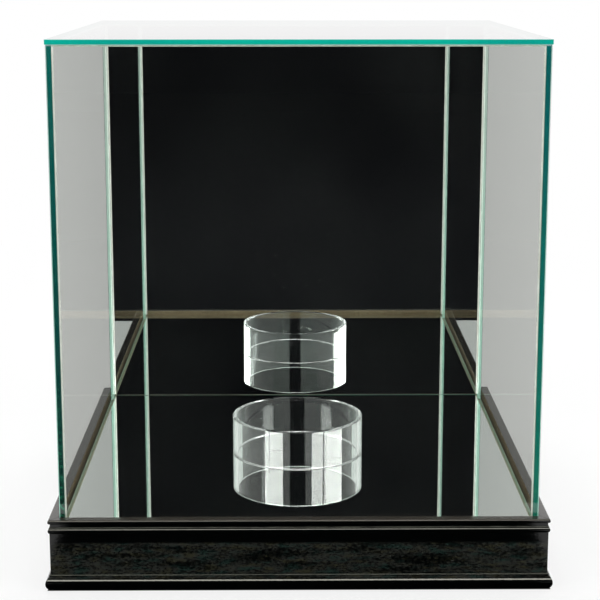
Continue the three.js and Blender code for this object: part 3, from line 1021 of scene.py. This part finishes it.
def makeFeltFeet():
    tree, names = fibreTree()
    for number, corner in enumerate(cornerNames):
        node = "felt_foot_" + corner
        low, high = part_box(node)
        shrink = Vector((feltFoot["fibreWidth"],) * 3)
        disc = newObject("disc", discMesh("disc", low + shrink, high - shrink), [])
        area = 2 * math.pi * ((high.x - low.x) / 2) ** 2
        values = {
            "Disc": disc, "Density": feltFoot["fibres"] / area, "Length": feltFoot["fibreLength"],
            "Width": feltFoot["fibreWidth"], "Seed": feltFoot["seed"] + number, "Material": felt,
        }
        piece = grown("felt_disc_" + corner, tree, names, values)
        bpy.data.objects.remove(disc)
        for vertex in piece.data.vertices:
            vertex.co.z = min(max(vertex.co.z, low.z), high.z)
        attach(piece, "base")
        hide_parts(node)


makeFeltFeet()
print("felt feet made")

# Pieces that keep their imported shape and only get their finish
kept = {
    "bead_": bead, "bead_top_": topBead, "deck_board": fibreboard, "mirror_tape_": tape,
    "corner_block_": pine, "block_screw_": steel, "corner_nail_": steel,
}


def dressKeptNodes():
    for name, node in nodes.items():
        for start, mat in kept.items():
            if name.startswith(start):
                node.data.materials.clear()
                node.data.materials.append(mat)


dressKeptNodes()
print("packed pieces dressed")

# Studio: pale floor, white surround, soft lamps, lamps that only gloss sees, dark cards for mirrors
studio = {
    "floorHalf": 8.0, "floorColour": (0.86, 0.86, 0.855),
    "floorWhiteNear": 0.76, "floorWhiteFar": 1.0, "floorNear": 0.25, "floorFar": 1.1,
    "footprintIn": 0.1512, "footprintOut": 0.1517, "paintedShadowUnderCase": (0.02, 0.02, 0.02),
    "surround": (1.0, 1.0, 1.0), "surroundLight": 0.5,
    "cardColour": (0.004, 0.004, 0.005),
    "cardNear": -0.1500, "cardNearHalf": 0.158,
    "cardStep": -0.29, "cardStepHalf": 0.22,
    "cardFar": -3.2, "cardFarHalf": 0.80, "cardHeight": 3.0, "clothHeight": 0.0004,
    "turnsOver": 2.5, "wallsUnder": 0.5,        # the rays that see the ring's lamps
    # Mirrors, ring and panes stand one behind another, so light needs more turns than usual
    "turns": {
        "max_bounces": 24, "transmission_bounces": 20, "glossy_bounces": 12, "transparent_max_bounces": 40,
    },
    "brightest": 40.0,
}
# place, point it faces, size, power in watts, colour, what it lights (soft surfaces or gloss),
# and how the names of the only pieces it reaches start, if it doesn't reach all
plainLight = (1.0, 1.0, 1.0)
forRing, forRails = ("clear_riser_ring", "sheet_mirror_floor"), ("rail_",)
warmLight = (1.0, 0.99, 0.86)
lamps = {
    "topLamp": [(0, 0.65, 1.9), (0, 0, 0.1), (1.6, 1.6), 26.0, plainLight, "soft", ()],
    "leftLamp": [(-1.5, -0.9, 0.9), (0, 0, 0.15), (0.7, 1.2), 10.0, plainLight, "soft", ()],
    "rightLamp": [(1.5, -0.9, 0.9), (0, 0, 0.15), (0.7, 1.2), 10.0, plainLight, "soft", ()],
    "leftPanel": [(-1.70, -1.85, 0.75), (0, 0, 0.4), (1.5, 1.3), 127.0, plainLight, "gloss", forRing],
    "rightPanel": [(2.25, -1.00, 0.75), (0, 0, 0.4), (1.6, 1.3), 146.0, plainLight, "gloss", forRing],
    "rightFill": [(1.45, -2.10, 0.75), (0, 0, 0.4), (0.9, 1.3), 64.0, plainLight, "gloss", forRing],
    "overheadStrip": [(0, -1.73, 1.25), (0, -0.15, 0.02), (2.6, 0.60), 49.0, warmLight, "gloss", forRails],
}


def seenByEye(tree, ray):
    # 1 for what the camera sees, also by way of mirrors and clear walls
    seen = mathNode(tree, "ADD", ray["Is Camera Ray"], ray["Is Glossy Ray"])
    return mathNode(tree, "ADD", seen, ray["Is Transmission Ray"], clamp=True)


def makeFloor():
    # Painted pale near the case, where it keeps the shadow, and plain white further out. Under the case the
    # paint is dark: a painted contact shadow.
    mat, tree = newMaterial("studioFloor")
    place = objectCoords(tree)
    ray = tree.nodes.new("ShaderNodeLightPath").outputs
    away = addNode(tree, "ShaderNodeVectorMath", operation="LENGTH")
    tree.links.new(place, away.inputs[0])
    ownWhite = spread(
        tree, away.outputs["Value"], studio["floorNear"], studio["floorFar"],
        studio["floorWhiteNear"], studio["floorWhiteFar"],
    )
    sideways, ahead = (mathNode(tree, "ABSOLUTE", axisOf(tree, place, axis)) for axis in "XY")
    square = mathNode(tree, "MAXIMUM", sideways, ahead)
    outside = spread(tree, square, studio["footprintIn"], studio["footprintOut"])
    # Painted shadow: the floor's paint is dark under the case.
    colour = mixColour(tree, outside, studio["paintedShadowUnderCase"], studio["floorColour"])
    paint = bsdf(tree, "Diffuse", Color=colour)
    white = addNode(tree, "ShaderNodeEmission", Color=studio["surround"], Strength=1.0).outputs[0]
    share = mathNode(tree, "MULTIPLY", seenByEye(tree, ray), mathNode(tree, "MULTIPLY", ownWhite, outside))
    # From below the floor is left out, and what is under the case gets its light from there
    fromBelow = mathNode(tree, "MULTIPLY", ray["Is Camera Ray"], backfacing(tree))
    lighting = mathNode(tree, "ADD", ray["Is Shadow Ray"], ray["Is Diffuse Ray"], clamp=True)
    toUnderside = mathNode(tree, "MULTIPLY", lighting, mathNode(tree, "SUBTRACT", 1.0, outside))
    opened = mathNode(tree, "ADD", fromBelow, toUnderside, clamp=True)
    clear = bsdf(tree, "Transparent", Color=studio["surround"])
    finish(mat, mixShader(tree, opened, mixShader(tree, share, paint, white), clear))
    bm = bmesh.new()
    bmesh.ops.create_grid(bm, x_segments=1, y_segments=1, size=studio["floorHalf"])
    newObject("studioFloor", meshFrom("studioFloor", bm), [mat])


def makeWorld():
    world = bpy.data.worlds.new("surround")
    scene.world = world
    world.use_nodes = True
    tree = world.node_tree
    tree.nodes.clear()
    seen = seenByEye(tree, tree.nodes.new("ShaderNodeLightPath").outputs)
    strength = spread(tree, seen, 0.0, 1.0, studio["surroundLight"], 1.0)
    back = addNode(tree, "ShaderNodeBackground", Color=studio["surround"], Strength=strength)
    out = tree.nodes.new("ShaderNodeOutputWorld")
    tree.links.new(back.outputs[0], out.inputs["Surface"])


def makeCards():
    # A dark cloth on the floor before the case, a screen behind the camera and a ceiling, for the mirrors
    mat, tree = newMaterial("darkCard")
    finish(mat, bsdf(tree, "Diffuse", Color=studio["cardColour"]))
    near, step, far = studio["cardNear"], studio["cardStep"], studio["cardFar"]
    close, middle, wide = studio["cardNearHalf"], studio["cardStepHalf"], studio["cardFarHalf"]
    top, low = studio["cardHeight"], studio["clothHeight"]
    rightEdge = [(close, near), (close, step), (middle, step), (wide, far)]
    cloth = [(-x, y) for x, y in rightEdge] + rightEdge[::-1]
    outlines = {
        "darkCloth": [(x, y, low) for x, y in cloth],
        "darkScreen": [(-wide, far, 0), (wide, far, 0), (wide, far, top), (-wide, far, top)],
        "darkCeiling": [(-wide, far, top), (wide, far, top), (wide, step, top), (-wide, step, top)],
    }
    for name, points in outlines.items():
        bm = bmesh.new()
        bm.faces.new([bm.verts.new(point) for point in points])
        card = newObject(name, meshFrom(name, bm), [mat])
        for kind in ("camera", "diffuse", "shadow", "volume_scatter"):
            setattr(card, "visible_" + kind, False)


def showOnRingSkin(data):
    # Seen only by way of two mirrors and no clear wall: what the ring's skin mirrors, and not the
    # bare mirror floor or what is seen through the ring. A lamp counts itself as one more turn.
    data.use_nodes = True
    tree = data.node_tree
    ray = tree.nodes.new("ShaderNodeLightPath").outputs
    mirroredTwice = mathNode(tree, "GREATER_THAN", ray["Ray Depth"], studio["turnsOver"])
    throughNothing = mathNode(tree, "LESS_THAN", ray["Transmission Depth"], studio["wallsUnder"])
    shown = mathNode(tree, "MULTIPLY", mirroredTwice, throughNothing)
    tree.links.new(shown, tree.nodes["Emission"].inputs["Strength"])


def makeLamps():
    for name, (place, aim, size, power, colour, lit, reached) in lamps.items():
        data = bpy.data.lights.new(name, "AREA")
        data.shape = "RECTANGLE"
        data.size, data.size_y = size
        data.energy = power
        data.color = colour
        lamp = bpy.data.objects.new(name, data)
        lamp.location = place
        lamp.rotation_euler = (Vector(aim) - Vector(place)).to_track_quat("-Z", "Y").to_euler()
        lamp.visible_camera = False
        lamp.visible_diffuse = lit != "gloss"
        lamp.visible_glossy = lit != "soft"
        if reached == forRing:
            showOnRingSkin(data)
        if reached:
            pieces = bpy.data.collections.new(name + "Pieces")
            for piece in scene.objects:
                if piece.name.startswith(reached):
                    pieces.objects.link(piece)
            lamp.light_linking.receiver_collection = pieces
        scene.collection.objects.link(lamp)


def makeStudio():
    makeFloor()
    makeWorld()
    makeCards()
    makeLamps()
    scene.view_settings.view_transform = "Standard"
    for name, turns in studio["turns"].items():
        setattr(scene.cycles, name, turns)
    # The ring mirrors only a small share of its lamps, which a low clamp would cut off
    scene.cycles.sample_clamp_indirect = studio["brightest"]


makeStudio()
print("studio made")

print("done")
